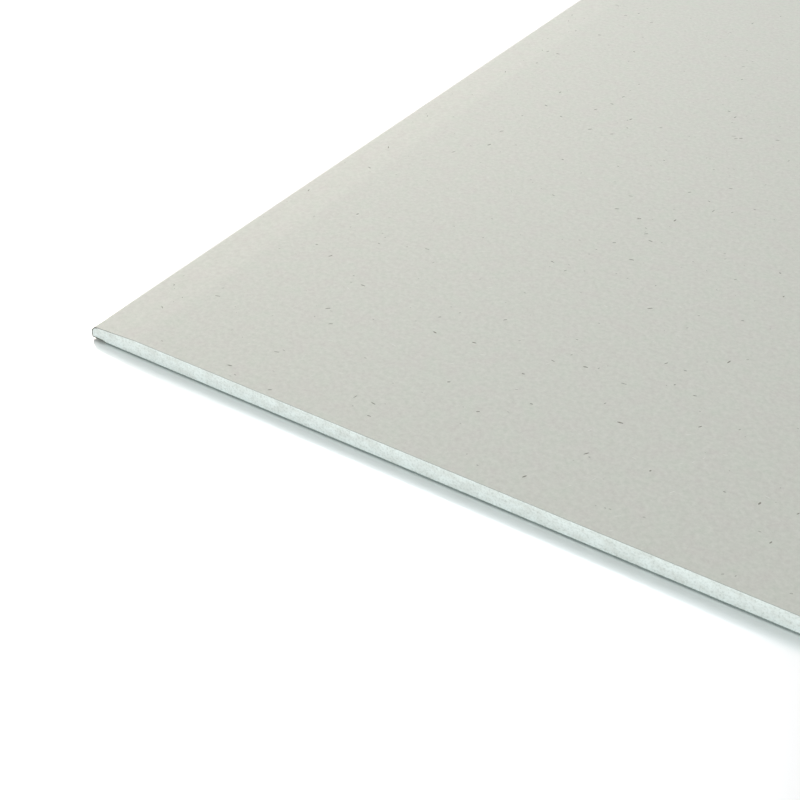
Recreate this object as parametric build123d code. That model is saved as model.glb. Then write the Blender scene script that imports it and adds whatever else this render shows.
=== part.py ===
from build123d import *
import os

# A plasterboard sheet with tapered long edges, lying face up with its back on the ground.
# Such board is made as an endless ribbon and then cut to length: gypsum is poured on the face
# liner, the liner is turned up round both long edges and folded in over the core, and the back
# liner is laid over the folded flaps. So the core shows at the two cut ends alone.
# Everything is in millimetres. X runs across the sheet, Y along it and Z up, and the origin is
# the middle of the back.

# The sheet
sheet_width = 1200.0
sheet_length = 2400.0
sheet_thickness = 12.5

# The two paper liners
face_paper_thickness = 0.4
back_paper_thickness = 0.5
flap_width = 25.0  # how far the face liner is folded under, from the long edge
liner_inset = 12.5  # bare strip of the flap, from the long edge to the rim of the back liner

# The taper that leaves room for the joint tape, and the bound edge beside it
taper_width = 40.0
taper_depth = 2.6
face_round_radius = 6.0  # where the face rolls down into the edge
back_round_radius = 1.2  # the tighter turn from the edge to the underside
edge_rise = 0.6  # how much higher the bare strip lies than the lapped part of the flap
edge_rise_run = 3.0  # length of the slope between the two

half_width = sheet_width / 2


def edge_corners(section, at_top):
    """The upper or the lower corner of both long edges."""
    columns = section.vertices().group_by(Axis.X)
    return [column.sort_by(Axis.Y)[-1 if at_top else 0] for column in (columns[0], columns[-1])]


def wrapped_section():
    """Section of the core and the face liner round it. Between the flaps it ends at the back liner."""
    edge_bottom = back_paper_thickness + edge_rise
    right_side = [
        (half_width - taper_width, sheet_thickness),
        (half_width, sheet_thickness - taper_depth),
        (half_width, edge_bottom),
        (half_width - liner_inset + edge_rise_run, edge_bottom),
        (half_width - liner_inset, back_paper_thickness),
    ]
    left_side = [(-x, z) for x, z in reversed(right_side)]
    section = make_face(Polyline(*right_side, *left_side, close=True))
    section = fillet(edge_corners(section, at_top=True), face_round_radius)
    return fillet(edge_corners(section, at_top=False), back_round_radius)


def slab_section(slab_width, bottom, top):
    """A plain rectangle centred on the sheet, between two heights."""
    return Pos(0, (bottom + top) / 2) * Rectangle(slab_width, top - bottom)


def run_lengthwise(section):
    """The solid that a section makes along the whole sheet."""
    return extrude(Plane.XZ * section, amount=sheet_length / 2, both=True)


wrapped = wrapped_section()
inside_face_paper = offset(wrapped, -face_paper_thickness, kind=Kind.INTERSECTION)

# Between the two flaps the core is one paper thicker and meets the back liner
core_underside = slab_section(
    sheet_width - 2 * flap_width,
    back_paper_thickness,
    back_paper_thickness + face_paper_thickness,
)
back_liner = slab_section(sheet_width - 2 * liner_inset, 0, back_paper_thickness)

nodes = {
    "gypsum_core": run_lengthwise(inside_face_paper + core_underside),
    "face_paper": run_lengthwise(wrapped - inside_face_paper - core_underside),
    "back_paper": run_lengthwise(back_liner),
}

os.makedirs("parts", exist_ok=True)
for name, solid in nodes.items():
    solid.label = name
    export_step(solid, f"parts/{name}.step")
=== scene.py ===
"""Dresses the plasterboard sheet: its paper liners, its gypsum core, the light and the camera."""

import logging
import math
from collections.abc import Sequence
from dataclasses import dataclass
from enum import Enum

import bmesh
import bpy
import numpy as np
from mathutils import Matrix, Vector


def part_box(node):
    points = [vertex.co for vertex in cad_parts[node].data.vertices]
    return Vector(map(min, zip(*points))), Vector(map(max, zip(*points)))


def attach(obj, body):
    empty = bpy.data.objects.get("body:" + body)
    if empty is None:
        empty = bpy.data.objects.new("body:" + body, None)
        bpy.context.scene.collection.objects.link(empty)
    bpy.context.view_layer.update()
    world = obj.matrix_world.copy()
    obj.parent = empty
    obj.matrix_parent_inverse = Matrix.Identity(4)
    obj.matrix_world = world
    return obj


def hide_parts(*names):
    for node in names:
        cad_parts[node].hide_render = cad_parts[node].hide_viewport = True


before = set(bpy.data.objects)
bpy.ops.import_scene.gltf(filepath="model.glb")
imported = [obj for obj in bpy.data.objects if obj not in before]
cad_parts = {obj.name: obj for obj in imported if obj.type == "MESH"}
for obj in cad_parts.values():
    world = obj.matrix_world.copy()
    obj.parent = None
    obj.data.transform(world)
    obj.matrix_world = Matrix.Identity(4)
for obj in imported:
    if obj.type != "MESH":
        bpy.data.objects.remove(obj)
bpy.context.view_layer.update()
MM = 0.001

logging.basicConfig(level=logging.INFO, format="%(message)s")
log = logging.getLogger("sheet")

Point = tuple[float, float]

CELLULOSE_IOR = 1.47
TORN_FIBRE_IOR = 1.45
GYPSUM_IOR = 1.52
NOISE_LOW = 0.3
NOISE_HIGH = 0.7


class CutEnd(Enum):
    """The two ends where the endless board was cut to length. The value is the end's side of Y."""

    NEAR = -1
    FAR = 1


class Liner(Enum):
    """The two papers of the board. The value is the name of the CAD node that each one is."""

    FACE = "face_paper"
    BACK = "back_paper"


def linear(hex_colour: str) -> tuple[float, float, float, float]:
    """Turns an sRGB colour into the linear one that shaders and lights take.

    Args:
        hex_colour: Six hex digits, such as "d9d6c8".

    Returns:
        Red, green, blue and an alpha of one.
    """
    channels = [int(hex_colour[i:i + 2], 16) / 255 for i in (0, 2, 4)]
    curve = [c / 12.92 if c <= 0.04045 else ((c + 0.055) / 1.055) ** 2.4 for c in channels]
    return (*curve, 1.0)


def per_metre(feature_mm: float) -> float:
    """The scale of a texture on metre coordinates whose features are this many millimetres wide."""
    return 1 / (feature_mm * MM)


def add_node(
    tree: bpy.types.NodeTree,
    kind: str,
    settings: dict[str, object] | None = None,
    sockets: dict[str | int, object] | None = None,
) -> bpy.types.Node:
    """Adds a node to a tree, sets its options and feeds its inputs.

    Args:
        tree: The shader or geometry tree.
        kind: The name of the node's type.
        settings: The node's options, by attribute.
        sockets: What goes into each input, by its name or number. An output socket is linked,
            and anything else is the input's own value.

    Returns:
        The new node.
    """
    node = tree.nodes.new(kind)
    for name, value in (settings or {}).items():
        setattr(node, name, value)
    for key, value in (sockets or {}).items():
        if isinstance(value, bpy.types.NodeSocket):
            tree.links.new(value, node.inputs[key])
        else:
            node.inputs[key].default_value = value
    return node


def new_material(name: str) -> tuple[bpy.types.Material, bpy.types.NodeTree, bpy.types.Node]:
    """Starts a material with nothing in it but its output.

    Args:
        name: The material's name.

    Returns:
        The material, its tree and its output node.
    """
    material = bpy.data.materials.new(name)
    material.use_nodes = True
    material.node_tree.nodes.clear()
    return material, material.node_tree, add_node(material.node_tree, "ShaderNodeOutputMaterial")


@dataclass(frozen=True)
class SheetSizes:
    """The sizes of the board in metres.

    The CAD model's boxes give the first six. The rest are the standard's, or were read off the
    photo, as they are in the CAD model.
    """

    half_width: float
    half_length: float
    thickness: float
    face_paper: float
    back_paper: float
    liner_inset: float
    flap_width: float = 25 * MM
    taper_width: float = 40 * MM
    taper_depth: float = 2.6 * MM
    face_round: float = 6.0 * MM
    back_round: float = 1.2 * MM
    edge_rise: float = 0.6 * MM
    edge_rise_run: float = 3.0 * MM

    @classmethod
    def from_frame(cls) -> "SheetSizes":
        """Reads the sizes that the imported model's boxes give."""
        _, face_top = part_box(Liner.FACE.value)
        _, core_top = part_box("gypsum_core")
        _, back_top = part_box(Liner.BACK.value)
        return cls(
            half_width=face_top.x,
            half_length=face_top.y,
            thickness=face_top.z,
            face_paper=face_top.x - core_top.x,
            back_paper=back_top.z,
            liner_inset=face_top.x - back_top.x,
        )


@dataclass(frozen=True)
class BoundEdge:
    """The tapered long edge, as the line that the face liner follows from the face to its flap.

    The belt that presses the taper leaves its crease rounded over two or three millimetres.
    """

    sizes: SheetSizes
    crease_round: float = 35 * MM
    steps_round: int = 12

    def corners(self) -> list[tuple[Vector, float]]:
        """The sharp corners of the liner's outer side with the radius that rounds each one."""
        s = self.sizes
        bottom = s.back_paper + s.edge_rise
        rim = s.half_width - s.liner_inset
        return [
            (Vector((0, s.thickness)), 0),
            (Vector((s.half_width - s.taper_width, s.thickness)), self.crease_round),
            (Vector((s.half_width, s.thickness - s.taper_depth)), s.face_round),
            (Vector((s.half_width, bottom)), s.back_round),
            (Vector((rim + s.edge_rise_run, bottom)), 0),
            (Vector((rim, s.back_paper)), 0),
            (Vector((s.half_width - s.flap_width, s.back_paper)), 0),
        ]

    def line(self, depth: float) -> list[Point]:
        """The line at a set depth under the outer side, on the right half of the board.

        Args:
            depth: How far inside the paper's outer side the line runs.

        Returns:
            Points across and up, from the crease of the taper to the end of the flap. Their
            number is the same at every depth.
        """
        corners = self.corners()
        places = [place for place, _ in corners]
        ways = [(b - a).normalized() for a, b in zip(places, places[1:])]
        inwards = [Vector((way.y, -way.x)) for way in ways]
        points: list[Point] = []
        for i, (place, radius) in enumerate(corners[1:-1], 1):
            before, after = inwards[i - 1], inwards[i]
            corner = place + depth * (before + after) / (1 + before.dot(after))
            if not radius:
                points.append(tuple(corner))
                continue
            inner_radius = radius - depth
            turn = before.angle(after)
            start = corner - ways[i - 1] * inner_radius * math.tan(turn / 2)
            centre = start + before * inner_radius
            for step in range(self.steps_round + 1):
                spoke = -before * inner_radius
                spoke.rotate(Matrix.Rotation(-turn * step / self.steps_round, 2))
                points.append(tuple(centre + spoke))
        points.append(tuple(places[-1] + depth * inwards[-1]))
        return points

    def upper_and_lower(self, depth: float) -> tuple[list[Point], list[Point]]:
        """The line in two parts: over the crease and the nose to the flat of the edge, and below."""
        line = self.line(depth)
        upper = 2 * (self.steps_round + 1)
        return line[:upper], line[upper:]


def both_sides(right: Sequence[Point]) -> list[Point]:
    """A line over the whole board from its right half: the left half mirrors it."""
    return [(-x, z) for x, z in reversed(right)] + list(right)


def make_object(
    name: str,
    vertices: Sequence[tuple[float, float, float]],
    faces: Sequence[Sequence[int]],
    sharp_above: float = 30.0,
) -> bpy.types.Object:
    """Makes a mesh object at the origin with smooth shading between its sharp edges.

    Args:
        name: The piece's name.
        vertices: The places of the vertices in metres.
        faces: The faces, as vertex numbers.
        sharp_above: The least angle in degrees at which an edge stays sharp.

    Returns:
        The object, linked to the scene, with its faces turned outwards.
    """
    mesh = bpy.data.meshes.new(name)
    mesh.from_pydata(vertices, [], faces)
    shape = bmesh.new()
    shape.from_mesh(mesh)
    bmesh.ops.recalc_face_normals(shape, faces=shape.faces)
    shape.to_mesh(mesh)
    shape.free()
    mesh.shade_smooth()
    mesh.set_sharp_from_angle(angle=math.radians(sharp_above))
    piece = bpy.data.objects.new(name, mesh)
    bpy.context.scene.collection.objects.link(piece)
    return piece


def strip_between(
    name: str, outer: Sequence[Point], inner: Sequence[Point], half_length: float, stations: int
) -> bpy.types.Object:
    """Runs the paper between two lines along the board.

    Args:
        name: The piece's name.
        outer: The line of the paper's outer side across the board.
        inner: The line of its inner side, with as many points.
        half_length: Half the board's length.
        stations: How many lengths the strip is divided into.

    Returns:
        A closed object whose cut edges carry material number 1, and the rest number 0.
    """
    ring = list(outer) + list(reversed(inner))
    levels = np.linspace(-half_length, half_length, stations + 1)
    vertices = [(x, y, z) for y in levels for x, z in ring]
    count = len(ring)
    faces = []
    for station in range(stations):
        for i in range(count):
            a, b = station * count + i, station * count + (i + 1) % count
            faces.append((a, b, b + count, a + count))
    rims = [i for i, face in enumerate(faces) if i % count in (len(outer) - 1, count - 1)]
    for base in (0, stations * count):
        for i in range(len(outer) - 1):
            faces.append((base + i, base + i + 1, base + count - 2 - i, base + count - 1 - i))
    piece = make_object(name, vertices, faces)
    cut = set(rims) | set(range(stations * count, len(faces)))
    for polygon in piece.data.polygons:
        polygon.material_index = int(polygon.index in cut)
    return piece


def node_input(
    tree: bpy.types.NodeTree, name: str, kind: str, values: dict[str, object], value: object
) -> None:
    """Gives a geometry tree a named input and notes its value by the socket's identifier."""
    values[tree.interface.new_socket(name=name, in_out="INPUT", socket_type=kind).identifier] = value


@dataclass(frozen=True)
class PaperFinish:
    """Board liner: recycled fibre in several plies, of which the outermost gives the colour.

    It is made wet on a wire, so its fibres clump into soft clouds and lie along the sheet. It is
    matt to satin, with no coating.
    """

    name: str
    tone: str
    cloud_tone: str
    mottle_tone: str
    roughness: float
    cloud_mm: float = 14
    mottle_mm: float = 3.2
    fibre_mm: float = 1.6
    fibre_stretch: float = 5.0
    cloud_share: float = 0.8
    mottle_share: float = 0.8
    bump_mm: float = 0.03

    def material(self) -> bpy.types.Material:
        """The liner's surface: soft clouds, a finer mottle and the tooth of lengthwise fibres."""
        material, tree, out = new_material(self.name)
        place = add_node(tree, "ShaderNodeTexCoord").outputs["Object"]
        along = add_node(tree, "ShaderNodeMapping", sockets={
            "Vector": place, "Scale": (1, 1 / self.fibre_stretch, 1)}).outputs[0]
        cloud = add_node(tree, "ShaderNodeTexNoise", sockets={
            "Vector": place, "Scale": per_metre(self.cloud_mm), "Detail": 3.0, "Roughness": 0.55})
        mottle = add_node(tree, "ShaderNodeTexNoise", sockets={
            "Vector": place, "Scale": per_metre(self.mottle_mm), "Detail": 4.0, "Roughness": 0.7})
        fibre = add_node(tree, "ShaderNodeTexNoise", sockets={
            "Vector": along, "Scale": per_metre(self.fibre_mm), "Detail": 2.0, "Roughness": 0.7})
        cloudy = add_node(tree, "ShaderNodeMapRange", sockets={
            "Value": cloud.outputs["Fac"], "From Min": NOISE_LOW, "From Max": NOISE_HIGH,
            "To Min": 0.0, "To Max": self.cloud_share})
        mottled = add_node(tree, "ShaderNodeMapRange", sockets={
            "Value": mottle.outputs["Fac"], "From Min": NOISE_LOW, "From Max": NOISE_HIGH,
            "To Min": 0.0, "To Max": self.mottle_share})
        first = add_node(tree, "ShaderNodeMix", {"data_type": "RGBA"}, {
            "Factor": cloudy.outputs[0], "A": linear(self.tone), "B": linear(self.cloud_tone)})
        second = add_node(tree, "ShaderNodeMix", {"data_type": "RGBA"}, {
            "Factor": mottled.outputs[0], "A": first.outputs["Result"],
            "B": linear(self.mottle_tone)})
        bump = add_node(tree, "ShaderNodeBump", sockets={
            "Height": fibre.outputs["Fac"], "Distance": self.bump_mm * MM, "Strength": 0.6})
        shader = add_node(tree, "ShaderNodeBsdfPrincipled", sockets={
            "Base Color": second.outputs["Result"], "Roughness": self.roughness,
            "IOR": CELLULOSE_IOR, "Normal": bump.outputs["Normal"]})
        tree.links.new(shader.outputs[0], out.inputs["Surface"])
        return material


@dataclass(frozen=True)
class CutPaperFinish:
    """The sawn edge of a liner, where the grey inner plies of recycled fibre show.

    Towards the bound edge, where the liner is bent, the cut is painted darker: painted shade
    standing in for a gap between its plies. Where the painted shade starts and where it is full
    are metres from the board's middle.
    """

    name: str
    tone: str
    dark_tone: str
    gap_shade_tone: str
    unshaded_until: float = 0.56
    full_shade_from: float = 0.597
    fibre_mm: float = 0.8
    roughness: float = 0.95

    def material(self) -> bpy.types.Material:
        """Grey furry plies, darker where the fibres have pulled out, with painted shade towards the bound
        edge.
        """
        material, tree, out = new_material(self.name)
        place = add_node(tree, "ShaderNodeTexCoord").outputs["Object"]
        fibre = add_node(tree, "ShaderNodeTexNoise", sockets={
            "Vector": place, "Scale": per_metre(self.fibre_mm), "Detail": 2.0})
        closed = add_node(tree, "ShaderNodeMix", {"data_type": "RGBA"}, {
            "Factor": fibre.outputs["Fac"], "A": linear(self.dark_tone), "B": linear(self.tone)})
        # Painted shade: the cut is darkened towards the bound edge, by its distance from the board's
        # middle.
        across = add_node(tree, "ShaderNodeSeparateXYZ", sockets={0: place}).outputs["X"]
        off_centre = add_node(tree, "ShaderNodeMath", {"operation": "ABSOLUTE"}, {0: across})
        painted_gap_shade = add_node(tree, "ShaderNodeMapRange", {"interpolation_type": "SMOOTHSTEP"}, {
            "Value": off_centre.outputs[0], "From Min": self.unshaded_until,
            "From Max": self.full_shade_from})
        colour = add_node(tree, "ShaderNodeMix", {"data_type": "RGBA"}, {
            "Factor": painted_gap_shade.outputs[0], "A": closed.outputs["Result"],
            "B": linear(self.gap_shade_tone)})
        shader = add_node(tree, "ShaderNodeBsdfPrincipled", sockets={
            "Base Color": colour.outputs["Result"], "Roughness": self.roughness, "IOR": TORN_FIBRE_IOR})
        tree.links.new(shader.outputs[0], out.inputs["Surface"])
        return material


@dataclass(frozen=True)
class GypsumFinish:
    """Set gypsum, foamed and sawn: a dead matt, chalky white with fine pores.

    The sawn end is painted a little greyer towards the back and brightest beside the face: this
    is painted shade.
    """

    name: str
    tone: str
    shaded_back_tone: str
    dust_tone: str
    pore_shade_tone: str
    thickness: float = 12.5 * MM
    grain_mm: float = 1.6
    patch_mm: float = 5.5
    patch_stretch: float = 1.7
    bump_mm: float = 0.12
    roughness: float = 0.98

    def material(self) -> bpy.types.Material:
        """Chalk white with dusty patches, and painted shade in the sawn pores and towards the back."""
        material, tree, out = new_material(self.name)
        place = add_node(tree, "ShaderNodeTexCoord").outputs["Object"]
        along = add_node(tree, "ShaderNodeMapping", sockets={
            "Vector": place, "Scale": (1 / self.patch_stretch, 1, 1)}).outputs[0]
        # Painted shade: the sawn end darkens from the face down to the back.
        height = add_node(tree, "ShaderNodeSeparateXYZ", sockets={0: place}).outputs["Z"]
        level = add_node(tree, "ShaderNodeMapRange", sockets={
            "Value": height, "From Min": 0.0, "From Max": self.thickness})
        shaded_chalk = add_node(tree, "ShaderNodeMix", {"data_type": "RGBA"}, {
            "Factor": level.outputs[0], "A": linear(self.shaded_back_tone), "B": linear(self.tone)})
        patch = add_node(tree, "ShaderNodeTexNoise", sockets={
            "Vector": along, "Scale": per_metre(self.patch_mm), "Detail": 4.0, "Roughness": 0.6})
        dusty = add_node(tree, "ShaderNodeMapRange", sockets={
            "Value": patch.outputs["Fac"], "From Min": 0.38, "From Max": 0.66})
        grain = add_node(tree, "ShaderNodeTexNoise", sockets={
            "Vector": place, "Scale": per_metre(self.grain_mm), "Detail": 3.0, "Roughness": 0.65})
        # Painted shade: the grains that the bump sinks in are darkened as shaded pores.
        pore = add_node(tree, "ShaderNodeMapRange", sockets={
            "Value": grain.outputs["Fac"], "From Min": 0.48, "From Max": 0.7,
            "To Min": 0.0, "To Max": 0.9})
        dusted = add_node(tree, "ShaderNodeMix", {"data_type": "RGBA", "blend_type": "MULTIPLY"}, {
            "Factor": dusty.outputs[0], "A": shaded_chalk.outputs["Result"], "B": linear(self.dust_tone)})
        colour = add_node(tree, "ShaderNodeMix", {"data_type": "RGBA", "blend_type": "MULTIPLY"}, {
            "Factor": pore.outputs[0], "A": dusted.outputs["Result"], "B": linear(self.pore_shade_tone)})
        bump = add_node(tree, "ShaderNodeBump", {"invert": True}, {
            "Height": grain.outputs["Fac"], "Distance": self.bump_mm * MM, "Strength": 0.5})
        shader = add_node(tree, "ShaderNodeBsdfPrincipled", sockets={
            "Base Color": colour.outputs["Result"], "Roughness": self.roughness, "IOR": GYPSUM_IOR,
            "Normal": bump.outputs["Normal"]})
        tree.links.new(shader.outputs[0], out.inputs["Surface"])
        return material


@dataclass(frozen=True)
class FibreFinish:
    """A stray fibre or a shive of bark pressed into the liner's top ply."""

    name: str
    tone: str
    end_tone: str
    change_mm: float = 3.0
    roughness: float = 0.8

    def material(self) -> bpy.types.Material:
        """A matt fibre whose tone drifts a little from one to the next."""
        material, tree, out = new_material(self.name)
        place = add_node(tree, "ShaderNodeTexCoord").outputs["Object"]
        drift = add_node(tree, "ShaderNodeTexNoise", sockets={
            "Vector": place, "Scale": per_metre(self.change_mm)})
        colour = add_node(tree, "ShaderNodeMix", {"data_type": "RGBA"}, {
            "Factor": drift.outputs["Fac"], "A": linear(self.tone), "B": linear(self.end_tone)})
        shader = add_node(tree, "ShaderNodeBsdfPrincipled", sockets={
            "Base Color": colour.outputs["Result"], "Roughness": self.roughness, "IOR": CELLULOSE_IOR})
        tree.links.new(shader.outputs[0], out.inputs["Surface"])
        return material


def settle(piece: bpy.types.Object, slot: str, *nodes: str) -> None:
    """Makes a finished piece ride on the board and stand for its CAD nodes, and reports it."""
    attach(piece, "root")
    if nodes:
        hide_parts(*nodes)
    log.info("%s: %d vertices, %d faces", piece.name, len(piece.data.vertices), len(piece.data.polygons))


def run_tree(
    piece: bpy.types.Object, tree: bpy.types.NodeTree, values: dict[str, object]
) -> None:
    """Runs a geometry tree on a piece and keeps the result as the piece's plain mesh.

    Args:
        piece: The piece whose mesh the tree takes in.
        tree: The geometry tree.
        values: The tree's inputs, by socket identifier.
    """
    modifier = piece.modifiers.new(tree.name, "NODES")
    modifier.node_group = tree
    for identifier, value in values.items():
        modifier[identifier] = value
    evaluated = piece.evaluated_get(bpy.context.evaluated_depsgraph_get())
    mesh = bpy.data.meshes.new_from_object(evaluated)
    mesh.name = piece.name
    piece.modifiers.clear()
    piece.data = mesh


@dataclass(frozen=True)
class FibreScatter:
    """Stray fibres strewn over a liner, each a flat spindle half sunk in the paper."""

    name: str
    finish: FibreFinish
    seed: int
    per_square_metre: float
    length_mm: tuple[float, float]
    width_mm: tuple[float, float]
    height_mm: float = 0.05
    across_degrees: float = 33.0
    spread_degrees: float = 50.0

    def tree(self, material: bpy.types.Material) -> tuple[bpy.types.NodeTree, dict[str, object]]:
        """Builds the tree that strews the fibres on whatever surface it is given.

        Args:
            material: What the fibres are dressed in.

        Returns:
            The tree, and its inputs' values by socket identifier.
        """
        tree = bpy.data.node_groups.new(self.name, "GeometryNodeTree")
        values: dict[str, object] = {}
        tree.interface.new_socket(name="Surface", in_out="INPUT", socket_type="NodeSocketGeometry")
        node_input(tree, "Fibres per square metre", "NodeSocketFloat", values, self.per_square_metre)
        node_input(tree, "Smallest", "NodeSocketVector", values, [
            self.length_mm[0] * MM, self.width_mm[0] * MM, self.height_mm * MM])
        node_input(tree, "Largest", "NodeSocketVector", values, [
            self.length_mm[1] * MM, self.width_mm[1] * MM, self.height_mm * MM])
        node_input(tree, "Main direction", "NodeSocketFloat", values, math.radians(self.across_degrees))
        node_input(tree, "Spread", "NodeSocketFloat", values, math.radians(self.spread_degrees))
        node_input(tree, "Seed", "NodeSocketInt", values, self.seed)
        tree.interface.new_socket(name="Fibres", in_out="OUTPUT", socket_type="NodeSocketGeometry")
        given = add_node(tree, "NodeGroupInput").outputs
        points = add_node(tree, "GeometryNodeDistributePointsOnFaces", sockets={
            "Mesh": given["Surface"], "Density": given["Fibres per square metre"],
            "Seed": given["Seed"]})
        spindle = add_node(tree, "GeometryNodeMeshIcoSphere", sockets={
            "Radius": 0.5, "Subdivisions": 1})
        size = add_node(tree, "FunctionNodeRandomValue", {"data_type": "FLOAT_VECTOR"}, {
            "Min": given["Smallest"], "Max": given["Largest"], "Seed": given["Seed"]})
        swing = add_node(tree, "FunctionNodeRandomValue", {"data_type": "FLOAT"}, {
            2: -1.0, 3: 1.0, "Seed": given["Seed"]})
        angle = add_node(tree, "ShaderNodeMath", {"operation": "MULTIPLY_ADD"}, {
            0: swing.outputs[1], 1: given["Spread"], 2: given["Main direction"]})
        about = add_node(tree, "ShaderNodeCombineXYZ", sockets={"Z": angle.outputs[0]})
        strewn = add_node(tree, "GeometryNodeInstanceOnPoints", sockets={
            "Points": points.outputs["Points"], "Instance": spindle.outputs["Mesh"],
            "Rotation": points.outputs["Rotation"], "Scale": size.outputs[0]})
        turned = add_node(tree, "GeometryNodeRotateInstances", sockets={
            "Instances": strewn.outputs[0], "Rotation": about.outputs[0], "Local Space": True})
        real = add_node(tree, "GeometryNodeRealizeInstances", sockets={0: turned.outputs[0]})
        dressed = add_node(tree, "GeometryNodeSetMaterial", sockets={
            0: real.outputs[0], "Material": material})
        add_node(tree, "NodeGroupOutput", sockets={"Fibres": dressed.outputs[0]})
        return tree, values

    def build(self, bed: bpy.types.Object) -> bpy.types.Object:
        """Strews the fibres on a copy of the bed and returns them as one piece."""
        piece = bpy.data.objects.new(self.name, bed.data.copy())
        bpy.context.scene.collection.objects.link(piece)
        run_tree(piece, *self.tree(self.finish.material()))
        return piece


@dataclass(frozen=True)
class Fray:
    """The torn fibres along a liner's cut, a furry bead half sunk in the sawn end.

    The saw tears the plies rather than cutting them, so the cut looks thicker than the paper is.
    The thinnest and the thickest tufts are shares of the bead's radius.
    """

    name: str
    finish: CutPaperFinish
    seed: int
    radius_mm: float
    wander_mm: float = 0.1
    spacing_mm: float = 0.6
    thinnest: float = 0.65
    thickest: float = 1.1
    sides: int = 6

    def tree(self, material: bpy.types.Material) -> tuple[bpy.types.NodeTree, dict[str, object]]:
        """Builds the tree that lays the bead along the cut lines it is given.

        Args:
            material: What the bead is dressed in.

        Returns:
            The tree, and its inputs' values by socket identifier.
        """
        tree = bpy.data.node_groups.new(self.name, "GeometryNodeTree")
        values: dict[str, object] = {}
        tree.interface.new_socket(name="Cut lines", in_out="INPUT", socket_type="NodeSocketGeometry")
        for name, value in {
            "Radius": self.radius_mm * MM,
            "Wander": self.wander_mm * MM,
            "Spacing": self.spacing_mm * MM,
        }.items():
            node_input(tree, name, "NodeSocketFloat", values, value)
        node_input(tree, "Sides", "NodeSocketInt", values, self.sides)
        node_input(tree, "Seed", "NodeSocketInt", values, self.seed)
        tree.interface.new_socket(name="Bead", in_out="OUTPUT", socket_type="NodeSocketGeometry")
        given = add_node(tree, "NodeGroupInput").outputs
        lines = add_node(tree, "GeometryNodeMeshToCurve", sockets={0: given["Cut lines"]})
        even = add_node(tree, "GeometryNodeResampleCurve", {"mode": "LENGTH"}, {
            "Curve": lines.outputs[0], "Length": given["Spacing"]})
        stray = add_node(tree, "FunctionNodeRandomValue", {"data_type": "FLOAT_VECTOR"}, {
            "Min": (-1, -1, -1), "Max": (1, 1, 1), "Seed": given["Seed"]})
        offset = add_node(tree, "ShaderNodeVectorMath", {"operation": "SCALE"}, {
            0: stray.outputs[0], "Scale": given["Wander"]})
        torn = add_node(tree, "GeometryNodeSetPosition", sockets={
            "Geometry": even.outputs[0], "Offset": offset.outputs[0]})
        tuft = add_node(tree, "FunctionNodeRandomValue", {"data_type": "FLOAT"}, {
            2: self.thinnest, 3: self.thickest, "Seed": given["Seed"]})
        thick = add_node(tree, "GeometryNodeSetCurveRadius", sockets={
            "Curve": torn.outputs[0], "Radius": tuft.outputs[1]})
        section = add_node(tree, "GeometryNodeCurvePrimitiveCircle", sockets={
            "Resolution": given["Sides"], "Radius": given["Radius"]})
        bead = add_node(tree, "GeometryNodeCurveToMesh", sockets={
            "Curve": thick.outputs[0], "Profile Curve": section.outputs[0], "Fill Caps": True})
        real = add_node(tree, "GeometryNodeRealizeInstances", sockets={0: bead.outputs[0]})
        dressed = add_node(tree, "GeometryNodeSetMaterial", sockets={
            0: real.outputs[0], "Material": material})
        add_node(tree, "NodeGroupOutput", sockets={0: dressed.outputs[0]})
        return tree, values

    def build(self, lines: Sequence[Sequence[Point]], half_length: float) -> bpy.types.Object:
        """Lays the bead along a set of lines, at both cut ends of the board.

        Args:
            lines: The lines across the board, each a list of points across and up.
            half_length: Half the board's length.

        Returns:
            The bead, as one piece.
        """
        vertices: list[tuple[float, float, float]] = []
        edges: list[tuple[int, int]] = []
        for end in CutEnd:
            for line in lines:
                first = len(vertices)
                vertices.extend((x, end.value * half_length, z) for x, z in line)
                edges.extend((first + i, first + i + 1) for i in range(len(line) - 1))
        mesh = bpy.data.meshes.new(self.name)
        mesh.from_pydata(vertices, edges, [])
        piece = bpy.data.objects.new(self.name, mesh)
        bpy.context.scene.collection.objects.link(piece)
        run_tree(piece, *self.tree(self.finish.material()))
        return piece


@dataclass(frozen=True)
class FaceLiner:
    """The ivory liner: over the face, round both bound edges and folded in under the back."""

    sizes: SheetSizes
    edge: BoundEdge
    finish: PaperFinish
    cut_finish: CutPaperFinish
    fray: Fray
    fibres: tuple[FibreScatter, ...]
    bare_rim_mm: float = 3.0
    stations: int = 24

    def paper(self) -> bpy.types.Object:
        """The liner itself, as thick as the paper all the way round."""
        outer = both_sides(self.edge.line(0))
        inner = both_sides(self.edge.line(self.sizes.face_paper))
        return strip_between("face_liner", outer, inner, self.sizes.half_length, self.stations)

    def turned_cut(self) -> list[list[Point]]:
        """The cut of the liner where it is bent round the edge, from the taper to the flap."""
        s = self.sizes
        bend = [p for p in self.edge.line(s.face_paper) if p[0] > s.half_width - s.liner_inset]
        return [bend, [(-x, z) for x, z in bend]]

    def bed(self) -> bpy.types.Object:
        """A bare surface over the face and its two tapers, for the fibres to be strewn on."""
        s = self.sizes
        edge = s.half_width - s.face_round
        drop = s.taper_depth * (s.taper_width - s.face_round) / s.taper_width
        row = both_sides([(s.half_width - s.taper_width, s.thickness), (edge, s.thickness - drop)])
        reach = s.half_length - self.bare_rim_mm * MM
        vertices = [(x, y, z) for y in (-reach, reach) for x, z in row]
        count = len(row)
        faces = [(i, i + 1, i + 1 + count, i + count) for i in range(count - 1)]
        mesh = bpy.data.meshes.new("fibre_bed")
        mesh.from_pydata(vertices, [], faces)
        return bpy.data.objects.new("fibre_bed", mesh)

    def dress(self) -> None:
        """Builds the liner, gives it its papers and strews its fibres."""
        paper = self.paper()
        paper.data.materials.append(self.finish.material())
        paper.data.materials.append(self.cut_finish.material())
        settle(paper, "face_liner", Liner.FACE.value)
        settle(self.fray.build(self.turned_cut(), self.sizes.half_length), "face_liner")
        bed = self.bed()
        for scatter in self.fibres:
            settle(scatter.build(bed), "face_liner")
        bpy.data.objects.remove(bed)


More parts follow.
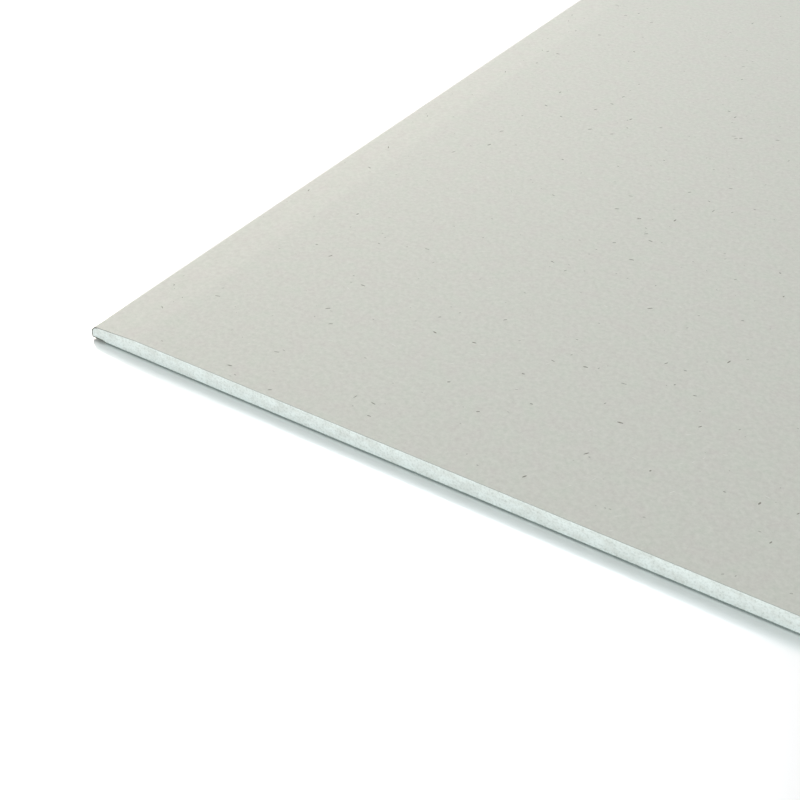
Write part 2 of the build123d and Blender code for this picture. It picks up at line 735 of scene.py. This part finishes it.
@dataclass(frozen=True)
class BackLiner:
    """The grey-brown liner on the back, which laps over the face liner's two flaps."""

    sizes: SheetSizes
    finish: PaperFinish
    cut_finish: CutPaperFinish
    fray: Fray
    feather_mm: float = 0.6
    stations: int = 24

    def dress(self) -> None:
        """Builds the liner with its pressed, feathered long rims and gives it its papers."""
        s = self.sizes
        rim = s.half_width - s.liner_inset
        inner = both_sides([(rim - self.feather_mm * MM, s.back_paper), (rim, s.back_paper)])
        outer = both_sides([(rim - self.feather_mm * MM, 0), (rim, s.back_paper / 2)])
        paper = strip_between("back_liner", outer, inner, s.half_length, self.stations)
        paper.data.materials.append(self.finish.material())
        paper.data.materials.append(self.cut_finish.material())
        settle(paper, "back_liner", Liner.BACK.value)
        torn = [(-rim, s.back_paper), (rim, s.back_paper)]
        settle(self.fray.build([torn], s.half_length), "back_liner")


@dataclass(frozen=True)
class GypsumCore:
    """The slab of set gypsum, whose sawn ends are a fine grid with the relief of grains and pores."""

    sizes: SheetSizes
    edge: BoundEdge
    finish: GypsumFinish
    pitch_mm: float = 0.8
    grain_mm: float = 1.3
    grain_depth_mm: float = 0.16
    pore_spacing_mm: float = 4.0
    pore_width_mm: float = 0.9
    pore_depth_mm: float = 0.3
    step_run_mm: float = 0.01
    seed: int = 5

    def columns(self) -> tuple[np.ndarray, np.ndarray, np.ndarray]:
        """Where the grid's columns stand, and how low and high the core reaches at each."""
        s = self.sizes
        top, under = self.edge.upper_and_lower(s.face_paper)
        widest = top[-1][0]
        step_in = under[-1][0] - self.step_run_mm * MM
        under.append((step_in, s.back_paper))
        top_x, top_z = np.array(sorted([(0, top[0][1]), *top])).T
        under_x, under_z = np.array(sorted([(0, s.back_paper), *under])).T
        steps = int(step_in / (self.pitch_mm * MM))
        even = np.linspace(0, widest - s.face_round, steps)
        x = np.unique(np.round(np.concatenate([even, top_x, under_x]), 6))
        x = x[x <= widest]
        low, high = np.interp(x, under_x, under_z), np.interp(x, top_x, top_z)
        return np.r_[-x[:0:-1], x], np.r_[low[:0:-1], low], np.r_[high[:0:-1], high]

    def slab(self) -> bpy.types.Object:
        """The closed slab: a grid at each end, and a long face from each rim of one to the other."""
        x, low, high = self.columns()
        rows = round(self.sizes.thickness / (self.pitch_mm * MM))
        share = np.linspace(0, 1, rows + 1)
        z = low[:, None] + (high - low)[:, None] * share
        across = np.repeat(x[:, None], rows + 1, 1)
        vertices, faces = [], []
        per_end = across.size
        number = np.arange(per_end).reshape(across.shape)
        for end in CutEnd:
            y = np.full(across.shape, end.value * self.sizes.half_length)
            vertices.extend(np.stack([across, y, z], -1).reshape(-1, 3).tolist())
            at = number + per_end * (end is CutEnd.FAR)
            corners = (at[:-1, :-1], at[1:, :-1], at[1:, 1:], at[:-1, 1:])
            faces.extend(np.stack(corners, -1).reshape(-1, 4).tolist())
        rim = np.r_[number[:, 0], number[-1, 1:], number[-2::-1, -1], number[0, -2:0:-1]]
        after = np.roll(rim, -1)
        faces.extend(np.stack([rim, after, after + per_end, rim + per_end], -1).tolist())
        return make_object("gypsum", vertices, faces)

    def relief_tree(self, material: bpy.types.Material) -> tuple[bpy.types.NodeTree, dict[str, object]]:
        """Builds the tree that sinks grains and pores into the two sawn ends.

        Args:
            material: What the core is dressed in.

        Returns:
            The tree, and its inputs' values by socket identifier.
        """
        tree = bpy.data.node_groups.new("sawn_end_relief", "GeometryNodeTree")
        values: dict[str, object] = {}
        tree.interface.new_socket(name="Slab", in_out="INPUT", socket_type="NodeSocketGeometry")
        for name, value in {
            "Half length": self.sizes.half_length,
            "Grain scale": per_metre(self.grain_mm),
            "Grain depth": self.grain_depth_mm * MM,
            "Pore scale": per_metre(self.pore_spacing_mm),
            "Pore radius": self.pore_width_mm / 2 / self.pore_spacing_mm,
            "Pore depth": self.pore_depth_mm * MM,
            "Seed": float(self.seed),
        }.items():
            node_input(tree, name, "NodeSocketFloat", values, value)
        tree.interface.new_socket(name="Sawn slab", in_out="OUTPUT", socket_type="NodeSocketGeometry")
        given = add_node(tree, "NodeGroupInput").outputs
        place = add_node(tree, "GeometryNodeInputPosition").outputs[0]
        y = add_node(tree, "ShaderNodeSeparateXYZ", sockets={0: place}).outputs["Y"]
        side = add_node(tree, "ShaderNodeMath", {"operation": "SIGN"}, {0: y}).outputs[0]
        grain = add_node(tree, "ShaderNodeTexNoise", {"noise_dimensions": "4D"}, {
            "Vector": place, "W": given["Seed"], "Scale": given["Grain scale"], "Detail": 2.0})
        pore = add_node(tree, "ShaderNodeTexVoronoi", {"voronoi_dimensions": "4D"}, {
            "Vector": place, "W": given["Seed"], "Scale": given["Pore scale"]})
        grain_in = add_node(tree, "ShaderNodeMath", {"operation": "MULTIPLY"}, {
            0: grain.outputs[0], 1: given["Grain depth"]})
        pore_in = add_node(tree, "ShaderNodeMapRange", {"interpolation_type": "SMOOTHSTEP"}, {
            "Value": pore.outputs["Distance"], "From Min": 0.0, "From Max": given["Pore radius"],
            "To Min": given["Pore depth"], "To Max": 0.0})
        depth = add_node(tree, "ShaderNodeMath", {"operation": "ADD"}, {
            0: grain_in.outputs[0], 1: pore_in.outputs[0]})
        inwards = add_node(tree, "ShaderNodeMath", {"operation": "MULTIPLY"}, {
            0: side, 1: depth.outputs[0]})
        back = add_node(tree, "ShaderNodeMath", {"operation": "MULTIPLY"}, {
            0: inwards.outputs[0], 1: -1.0})
        offset = add_node(tree, "ShaderNodeCombineXYZ", sockets={"Y": back.outputs[0]})
        moved = add_node(tree, "GeometryNodeSetPosition", sockets={
            "Geometry": given["Slab"], "Offset": offset.outputs[0]})
        real = add_node(tree, "GeometryNodeRealizeInstances", sockets={0: moved.outputs[0]})
        dressed = add_node(tree, "GeometryNodeSetMaterial", sockets={
            0: real.outputs[0], "Material": material})
        add_node(tree, "NodeGroupOutput", sockets={0: dressed.outputs[0]})
        return tree, values

    def dress(self) -> None:
        """Builds the core with its sawn relief and its chalky finish."""
        core = self.slab()
        run_tree(core, *self.relief_tree(self.finish.material()))
        settle(core, "gypsum", "gypsum_core")


@dataclass(frozen=True)
class SoftPanel:
    """A square diffuser panel that lights the board softly.

    Its place and aim are metres from the near left corner of the board.
    """

    name: str
    place: tuple[float, float, float]
    aim: tuple[float, float, float]
    size: float
    watts: float
    colour: str

    def hang(self, corner: Vector) -> None:
        """Hangs the panel, out of the camera's sight but seen by the glossy table."""
        data = bpy.data.lights.new(self.name, "AREA")
        data.energy, data.size, data.color = self.watts, self.size, linear(self.colour)[:3]
        panel = bpy.data.objects.new(self.name, data)
        panel.location = corner + Vector(self.place)
        way = Vector(self.aim) - Vector(self.place)
        panel.rotation_euler = way.to_track_quat("-Z", "Y").to_euler()
        panel.visible_camera = False
        bpy.context.scene.collection.objects.link(panel)


@dataclass(frozen=True)
class Studio:
    """The polished white table, the lights and the camera at the photo's viewing angle."""

    sizes: SheetSizes
    panels: tuple[SoftPanel, ...]
    focal_px: float = 1320.7
    frame_px: int = 800
    sensor_mm: float = 36.0
    heading_degrees: float = 123.046
    pitch_degrees: float = 37.253
    camera_from_corner_mm: tuple[float, float, float] = (564.5, -494.1, 497.3)
    table_half_width: float = 15.0
    table_gap: float = 0.05 * MM
    table_colour: str = "ffffff"
    table_polish: float = 0.25
    table_roughness: float = 0.2
    sky_colour: str = "f8fdff"
    sky_strength: float = 0.321

    def corner(self) -> Vector:
        """The near left corner of the board, on the table."""
        return Vector((-self.sizes.half_width, -self.sizes.half_length, 0))

    def camera(self) -> None:
        """Sets up the camera from the place and direction that were fitted to the photo."""
        heading, pitch = math.radians(self.heading_degrees), math.radians(self.pitch_degrees)
        forward = Vector((
            math.cos(pitch) * math.cos(heading), math.cos(pitch) * math.sin(heading), -math.sin(pitch)))
        right = Vector((math.sin(heading), -math.cos(heading), 0))
        up = right.cross(forward)
        place = self.corner() + Vector(self.camera_from_corner_mm) * MM
        data = bpy.data.cameras.new("camera")
        data.sensor_width = self.sensor_mm
        data.lens = self.focal_px * self.sensor_mm / self.frame_px
        camera = bpy.data.objects.new("camera", data)
        turn = Matrix((right, up, -forward)).transposed().to_4x4()
        camera.matrix_world = Matrix.Translation(place) @ turn
        bpy.context.scene.collection.objects.link(camera)
        bpy.context.scene.camera = camera

    def table(self) -> None:
        """A wide, polished white table that mirrors softly what stands on it."""
        half, level = self.table_half_width, -self.table_gap
        corners = [(-half, -half, level), (half, -half, level), (half, half, level), (-half, half, level)]
        table = make_object("table", corners, [(0, 1, 2, 3)])
        material, tree, out = new_material("polished_table")
        shader = add_node(tree, "ShaderNodeBsdfPrincipled", sockets={
            "Base Color": linear(self.table_colour), "Metallic": self.table_polish,
            "Roughness": self.table_roughness})
        tree.links.new(shader.outputs[0], out.inputs["Surface"])
        table.data.materials.append(material)

    def sky(self) -> None:
        """An even pale sky that fills the shadows and looks white itself."""
        world = bpy.data.worlds.new("sky")
        world.use_nodes = True
        tree = world.node_tree
        tree.nodes.clear()
        seen = add_node(tree, "ShaderNodeLightPath").outputs["Is Camera Ray"]
        sky = add_node(tree, "ShaderNodeBackground", sockets={
            "Color": linear(self.sky_colour), "Strength": self.sky_strength})
        white = add_node(tree, "ShaderNodeBackground", sockets={"Strength": 1.0})
        mixed = add_node(tree, "ShaderNodeMixShader", sockets={
            0: seen, 1: sky.outputs[0], 2: white.outputs[0]})
        add_node(tree, "ShaderNodeOutputWorld", sockets={0: mixed.outputs[0]})
        bpy.context.scene.world = world
        bpy.context.scene.view_settings.view_transform = "Standard"

    def set_up(self) -> None:
        """Sets up the camera, the table and the lights."""
        self.camera()
        self.table()
        self.sky()
        for panel in self.panels:
            panel.hang(self.corner())


IVORY_LINER = PaperFinish(
    "ivory_liner", tone="c8cabe", cloud_tone="cbc4be", mottle_tone="dad8cf", roughness=0.7)
GREY_LINER = PaperFinish(
    "grey_recycled_liner", tone="aaa498", cloud_tone="9d978b", mottle_tone="b5afa2", roughness=0.8)
# The gap tones of these cut finishes are painted shade towards the bound edge.
IVORY_CUT = CutPaperFinish(
    "ivory_liner_cut_edge", tone="b0afa8", dark_tone="979690", gap_shade_tone="52514d")
GREY_CUT = CutPaperFinish(
    "grey_liner_cut_edge", tone="a8aeaa", dark_tone="7e8480", gap_shade_tone="949a97")
TORN_IVORY = CutPaperFinish(
    "torn_ivory_fibre", tone="7f8079", dark_tone="565850", gap_shade_tone="565850")
TORN_GREY = CutPaperFinish(
    "torn_grey_fibre", tone="a9afab", dark_tone="757b78", gap_shade_tone="8f9592")
SET_GYPSUM = GypsumFinish(
    "set_gypsum", tone="f8f4f1", shaded_back_tone="eeecea", dust_tone="f1efed", pore_shade_tone="e3e2e0")
SHIVE = FibreFinish("bark_shive", tone="757167", end_tone="969287")
SPECK = FibreFinish("grey_speck", tone="96938a", end_tone="b2afa5")
PALE_FIBRE = FibreFinish("bleached_fibre", tone="efeee8", end_tone="dedcd3")
FACE_FRAY = Fray("face_fray", TORN_IVORY, seed=7, radius_mm=0.3)
BACK_FRAY = Fray("back_fray", TORN_GREY, seed=8, radius_mm=0.38)
FACE_FIBRES = (
    FibreScatter(
        "face_shives", SHIVE, seed=11, per_square_metre=500,
        length_mm=(1.8, 4.6), width_mm=(0.6, 1.3)),
    FibreScatter(
        "face_specks", SPECK, seed=17, per_square_metre=1100,
        length_mm=(0.8, 2.4), width_mm=(0.4, 0.9)),
    FibreScatter(
        "face_pale_fibres", PALE_FIBRE, seed=23, per_square_metre=420,
        length_mm=(1.5, 5.0), width_mm=(0.2, 0.5)),
)
PANELS = (
    SoftPanel(
        "left_panel", place=(-0.7, 0.35, 0.45), aim=(0.1, 0.4, 0.0),
        size=0.5, watts=3.3, colour="fff3ec"),
    SoftPanel(
        "overhead_panel", place=(-0.3, 1.2, 1.4), aim=(0.1, 0.6, 0.0),
        size=0.9, watts=5.7, colour="e9f6ff"),
    SoftPanel(
        "back_panel", place=(-4.2, 8.1, 7.05), aim=(0.3, 0.3, 0.0),
        size=10.8, watts=288, colour="ffe8df"),
    SoftPanel(
        "high_panel", place=(-3.6, 4.8, 8.7), aim=(0.3, 0.3, 0.0),
        size=4.8, watts=379, colour="effcff"),
    SoftPanel(
        "front_panel", place=(0.3, -2.5, 0.35), aim=(0.3, 0.0, 0.0),
        size=0.6, watts=32.4, colour="e8fffd"),
)


def main() -> None:
    """Builds the studio and then the sheet, from its core outwards."""
    sizes = SheetSizes.from_frame()
    edge = BoundEdge(sizes)
    Studio(sizes, PANELS).set_up()
    GypsumCore(sizes, edge, SET_GYPSUM).dress()
    BackLiner(sizes, GREY_LINER, GREY_CUT, BACK_FRAY).dress()
    FaceLiner(sizes, edge, IVORY_LINER, IVORY_CUT, FACE_FRAY, FACE_FIBRES).dress()


if __name__ == "__main__":
    main()
